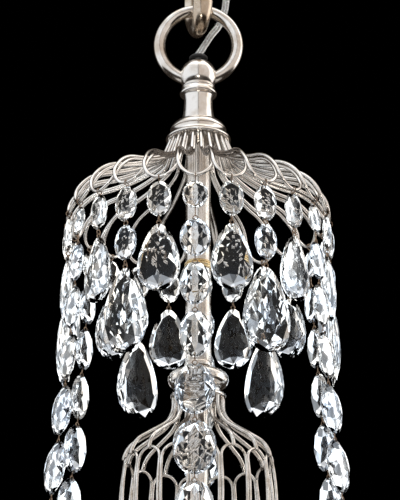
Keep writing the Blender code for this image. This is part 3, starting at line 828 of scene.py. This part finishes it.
def strand_mesh(hook):
    """Eight oval beads that grow downwards, linked by pins and eyes."""
    hoop_low, hoop_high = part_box("hoop_frame")
    reach = (hoop_high.x - hoop_low.x) / 2 - HOOP_WIRE - hook[0]
    drop = HOOP_DEPTH - hook[1]
    steps = 600
    trail = [Vector((0, -reach * (step / steps) ** 1.5, -drop * step / steps)) for step in range(steps + 1)]
    distance = [0.0]
    for before, after in zip(trail, trail[1:]):
        distance.append(distance[-1] + (after - before).length)

    def along(target):
        index = min(steps - 1, next(step for step, reached in enumerate(distance) if reached >= target))
        return trail[index], (trail[index + 1] - trail[max(index - 1, 0)]).normalized()

    shape = Shape()
    heights = bead_heights()
    gap = (distance[-1] - BEAD_TOP - FIRST_BEAD_GAP - sum(heights) - LAST_BEAD_GAP) / (BEADS - 2)
    top = BEAD_TOP
    eye(shape, -UP * HOOK_EYE_DEPTH, HOOK_EYE, ALONG)
    tie = -UP * 2.9 * MM
    for index, height in enumerate(heights):
        place_at, heading = along(top + height / 2)
        width = (min(0.9 * height, 21.4 * MM) if index < 4 else 0.78 * height) + 0.6 * MM
        tall = height + 1.6 * MM
        turn = Vector((0, 0, -1)).rotation_difference(heading).to_matrix().to_4x4()
        cut_crystal(shape, (width, 0.30 * height, tall),
                    matrix=Matrix.Translation(place_at) @ turn @ Matrix.Translation((0, 0, tall / 2)))
        hole_top = place_at - heading * (tall / 2 - BEAD_INSET)
        pin(shape, tie, hole_top)
        hole_foot = place_at + heading * (tall / 2 - BEAD_INSET)
        spacing = gap if index else FIRST_BEAD_GAP
        top += height + spacing
        if index < BEADS - 1:
            ring_at = hole_foot + heading * (spacing + 0.4 * MM)
            pin(shape, hole_foot, ring_at - heading * (BEAD_EYE - PIN_BITE))
            eye(shape, ring_at, BEAD_EYE, OUTWARDS)
            tie = ring_at + heading * (BEAD_EYE - PIN_BITE)
        else:
            pin(shape, hole_foot, trail[-1] + UP * (HOOP_EYE + 0.15 * MM))
    eye(shape, trail[-1], HOOP_EYE, ALONG)
    return shape.to_mesh("bead_strand", [crystal, bronze])


def make_crystal(hook):
    """A bead strand on every fourth loop, a long drop half-way between, short drops on the rest."""
    strand = strand_mesh(hook)
    pivots = {}
    for joint in frame["joints"]:
        if joint["name"].startswith("pear_"):
            pivots[int(joint["name"][5:7])] = -joint["pos_m"][2] - hook[1]
    links = {ovals: oval_link_mesh(ovals, pivots[ovals]) for ovals in PEARS}
    pears = {ovals: pear_mesh(size) for ovals, size in PEARS.items()}
    for loop in range(LOOPS):
        azimuth = loop * LOOP_PITCH + CROWN_TURN
        if loop % 4 == 0:
            name = f"bead_strand_{loop // 4 + 1}"
            place(f"strand_{loop // 4 + 1}", strand, name, drop_matrix(hook, azimuth))
            continue
        ovals = 2 if loop % 4 == 2 else 1
        place(f"ovals_{loop:02d}", links[ovals], f"oval_link_{loop:02d}",
              drop_matrix(hook, azimuth))
        # each pear hangs turned by a few degrees
        twist = Matrix.Rotation(math.radians(5) * math.sin(2.3 * loop), 4, "Z")
        place(f"pear_{loop:02d}", pears[ovals], f"pear_drop_{loop:02d}",
              drop_matrix(hook, azimuth, pivots[loop]) @ twist)


# ================================================================ lower fittings

def make_lower_fittings():
    """Base, hoop and lamp: a plain guess at what the strands and the cage end in."""
    top = -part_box("cage_base")[1].z / MM
    base = [(20.4, top)] + arc((20.6, top + 1.4), 1.4, 85, -70, 8)
    base += [(20.0, top + 3.2), (17.2, top + 4.0), (15.0, top + 5.6), (13.8, top + 7.6), (13.2, top + 8.4),
             (3.0, top + 8.4), (3.0, top)]
    turned("cage_foot", "cage_base", base, silver)

    low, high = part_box("hoop_frame")
    radius = (high.x - low.x) / 2 - HOOP_WIRE
    depth = -high.z + HOOP_WIRE
    shape = Shape()
    steps = 180
    hoop = [polar(radius, 2 * math.pi * step / steps, depth) for step in range(steps)]
    shape.tube(hoop, HOOP_WIRE, sides=12, closed=True)
    arms = 6
    for index in range(arms):
        azimuth = (index + 0.5) * 2 * math.pi / arms
        arm = [polar(r * MM, azimuth, d * MM) for r, d in ((10, 520), (50, 529), (95, 530), (127, 518))]
        shape.tube(smooth_path(arm, 10), 1.35 * MM, sides=10)
    hub = [(11.5, 518.4)] + arc((12.0, 520.0), 1.0, 80, -80, 8) + [(11.5, 521.6), (3, 521.6), (3, 518.4)]
    shape.lathe([(r * MM, d * MM) for r, d in hub], 64)
    place("strand_hoop", shape.to_mesh("strand_hoop", [silver]), "hoop_frame")

    top = -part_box("lamp_holder")[1].z / MM
    holder = [(10.6, top), (11.6, top + 0.6), (12.4, top + 3.0), (12.6, top + 11.4), (13.2, top + 13.0),
              (13.9, top + 14.4), (14.0, top + 37.2), (13.6, top + 37.8), (12.4, top + 37.8),
              (12.3, top + 17.0), (3.0, top + 15.0), (3.0, top)]
    turned("lamp_socket", "lamp_holder", holder, phenolic())

    low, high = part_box("bulb")
    top, foot = -high.z / MM, -low.z / MM
    globe, wall = 21, 0.7
    centre = foot - globe
    glass = [(11.4, top + 21), (11.8, top + 23), (13.0, top + 29)] + arc((0, centre), globe, 37, -88, 24)
    inside = [(max(r - wall, 0.2), d - (wall if r < 15 and d > centre else 0)) for r, d in reversed(glass)]
    shape = Shape()
    shape.lathe([(r * MM, d * MM) for r, d in glass + inside], 64)
    cap = [(0, top), (5, top + 0.3), (8.6, top + 2.4), (11.5, top + 4), (11.5, top + 23), (0, top + 24)]
    shape.lathe([(r * MM, d * MM) for r, d in cap], 64, slot=1)
    filament = []
    steps, steps_per_coil = 120, 8
    for step in range(steps + 1):
        angle = 2 * math.pi * step / steps_per_coil
        turn = math.pi * (step / steps - 0.5) * 1.2
        heart = Vector((9 * MM * math.sin(turn), 0, -(centre - 8) * MM - 4 * MM * math.cos(turn)))
        filament.append(heart + Vector((0, math.cos(angle), math.sin(angle))) * 0.5 * MM)
    shape.tube(filament, 0.12 * MM, sides=5, slot=2)
    for end in (filament[0], filament[-1]):
        shape.tube([Vector((end.x * 0.3, 0, -(top + 24) * MM)), end], 0.3 * MM, sides=6, slot=2)
    place("lamp_bulb", shape.to_mesh("lamp_bulb", [lamp_glass(), brass, bronze]), "bulb")


# ================================================================ studio

SIGHT = Vector((0, math.cos(CAMERA_TILT), math.sin(CAMERA_TILT)))
WARM = (1.0, 0.94, 0.86)
COOL = (0.86, 0.94, 1.0)


class Studio:
    """Builds the world's light out of white sheets, each one a mask over the sky's directions."""

    def __init__(self):
        world = bpy.data.worlds.new("studio")
        bpy.context.scene.world = world
        world.use_nodes = True
        self.tree = world.node_tree
        self.tree.nodes.clear()
        self.sky = self.tree.nodes.new("ShaderNodeTexCoord").outputs["Generated"]
        self.path = self.tree.nodes.new("ShaderNodeLightPath")
        self.light = None

    def math(self, operation, *values):
        node = self.tree.nodes.new("ShaderNodeMath")
        node.operation = operation
        for socket, value in zip(node.inputs, values):
            if isinstance(value, (int, float)):
                socket.default_value = value
            else:
                self.tree.links.new(value, socket)
        return node.outputs[0]

    def both(self, first, second):
        return self.math("MULTIPLY", first, second)

    def without(self, mask):
        return self.math("SUBTRACT", 1.0, mask)

    def step(self, source, start, end):
        node = self.tree.nodes.new("ShaderNodeMapRange")
        node.interpolation_type = "SMOOTHSTEP"
        node.inputs["From Min"].default_value = start
        node.inputs["From Max"].default_value = end
        self.tree.links.new(source, node.inputs["Value"])
        return node.outputs["Result"]

    def band(self, source, start, full, fade, end):
        return self.both(self.step(source, start, full), self.without(self.step(source, fade, end)))

    def towards(self, direction, start, full):
        """Rises from 0 to 1 as the cosine of the angle off a direction goes from start to full."""
        dot = self.tree.nodes.new("ShaderNodeVectorMath")
        dot.operation = "DOT_PRODUCT"
        self.tree.links.new(self.sky, dot.inputs[0])
        dot.inputs[1].default_value = Vector(direction).normalized()
        return self.step(dot.outputs["Value"], start, full)

    def cone(self, direction, outer, inner):
        """The same with the angles in degrees."""
        return self.towards(direction, math.cos(math.radians(outer)), math.cos(math.radians(inner)))

    def sheet(self, mask, strength, colour):
        shade = self.tree.nodes.new("ShaderNodeBackground")
        shade.inputs["Color"].default_value = (*colour, 1)
        self.tree.links.new(self.both(mask, strength), shade.inputs["Strength"])
        if self.light:
            joined = self.tree.nodes.new("ShaderNodeAddShader")
            self.tree.links.new(self.light, joined.inputs[0])
            self.tree.links.new(shade.outputs[0], joined.inputs[1])
            self.light = joined.outputs[0]
        else:
            self.light = shade.outputs[0]

    def finish(self):
        """The camera itself sees a black ground."""
        unseen = self.tree.nodes.new("ShaderNodeBackground")
        unseen.inputs["Color"].default_value = (0, 0, 0, 1)
        mix = self.tree.nodes.new("ShaderNodeMixShader")
        self.tree.links.new(self.path.outputs["Is Camera Ray"], mix.inputs[0])
        self.tree.links.new(self.light, mix.inputs[1])
        self.tree.links.new(unseen.outputs[0], mix.inputs[2])
        out = self.tree.nodes.new("ShaderNodeOutputWorld")
        self.tree.links.new(mix.outputs[0], out.inputs["Surface"])


def make_world():
    """White sheets beside and above the camera with a slit between them, a dark band at its level.

    Rays through glass see those sheets dimly, and find patchy light round the black ground
    behind the object, so that crystal sparkles against black.
    """
    studio = Studio()
    split = studio.tree.nodes.new("ShaderNodeSeparateXYZ")
    studio.tree.links.new(studio.sky, split.inputs[0])
    x, y, z = split.outputs
    bearing = studio.math("ARCTAN2", x, y)
    through_glass = studio.path.outputs["Is Transmission Ray"]

    above = studio.step(z, -0.28, -0.16)
    dimmed = studio.without(studio.both(through_glass, 0.82))
    left = studio.both(studio.band(bearing, -3.115, -3.08, -1.3, -0.9), above)
    right = studio.both(studio.band(bearing, 0.9, 1.3, 3.08, 3.115), above)
    edge = studio.both(studio.band(bearing, 0.95, 1.15, 1.75, 1.95), above)
    studio.sheet(studio.both(left, dimmed), 1.0, (0.93, 0.96, 1.0))
    studio.sheet(studio.both(right, dimmed), 0.72, (1.0, 0.92, 0.86))
    studio.sheet(edge, 1.1, (1.0, 0.99, 0.97))
    studio.sheet(studio.step(z, 0.8, 0.95), 0.9, (1.0, 0.98, 0.95))
    studio.sheet(dimmed, 0.03, (1.0, 0.8, 0.65))
    for side in (-0.055, 0.055):
        studio.sheet(studio.towards((side, -0.93, -0.37), 0.9985, 0.9993), 14, (1, 0.95, 0.88))

    ground = studio.cone(SIGHT, 22, 17)
    studio.sheet(studio.both(studio.without(ground), through_glass), 0.3, (0.9, 0.95, 1.0))
    studio.sheet(studio.both(studio.cone((0, 0.5, 0.87), 34, 20), through_glass), 1.3, (0.95, 0.97, 1.0))
    patches = studio.tree.nodes.new("ShaderNodeTexNoise")
    patches.inputs["Scale"].default_value = 2.6
    patches.inputs["Detail"].default_value = 2.0
    studio.tree.links.new(studio.sky, patches.inputs["Vector"])
    ring = studio.math("SUBTRACT", studio.cone(SIGHT, 105, 55), ground)
    ring = studio.both(ring, studio.step(patches.outputs["Fac"], 0.44, 0.54))
    ring = studio.both(ring, through_glass)
    warm = studio.step(patches.outputs["Color"], 0.45, 0.6)
    studio.sheet(studio.both(ring, warm), 2.0, WARM)
    studio.sheet(studio.both(ring, studio.without(warm)), 2.0, COOL)
    studio.finish()


def make_floor():
    shape = Shape()
    level = cad_low.z - 0.45
    radius, steps = 0.95, 96
    rim = shape.ring([polar(radius, 2 * math.pi * step / steps, -level) for step in range(steps)])
    centre = shape.mesh.verts.new(Vector((0, 0, level)))
    for index in range(steps):
        shape.face((rim[index], rim[(index + 1) % steps], centre))
    n = Nodes("pale_floor")
    n.link(n.ramp(n.noise(3, 4), (0.62, 0.61, 0.59), (0.7, 0.69, 0.67)), n.shader.inputs["Base Color"])
    n.shader.inputs["Roughness"].default_value = 0.8
    floor = bpy.data.objects.new("floor", shape.to_mesh("floor", [n.material]))
    bpy.context.scene.collection.objects.link(floor)


def make_camera():
    """Looks up at the chandelier from below the level of its lamp."""
    data = bpy.data.cameras.new("camera")
    data.sensor_width = 36
    data.lens = CAMERA_LENS
    camera = bpy.data.objects.new("camera", data)
    bpy.context.scene.collection.objects.link(camera)
    camera.location = CAMERA_PLACE
    camera.rotation_euler = (math.pi / 2 + CAMERA_TILT, 0, 0)
    bpy.context.scene.camera = camera
    bpy.context.scene.view_settings.view_transform = "Standard"


make_chain_link()
make_ring()
make_cord()
make_spindle()
hook = make_crown()
make_cage()
make_crystal(hook)
make_lower_fittings()

make_world()
make_floor()
make_camera()
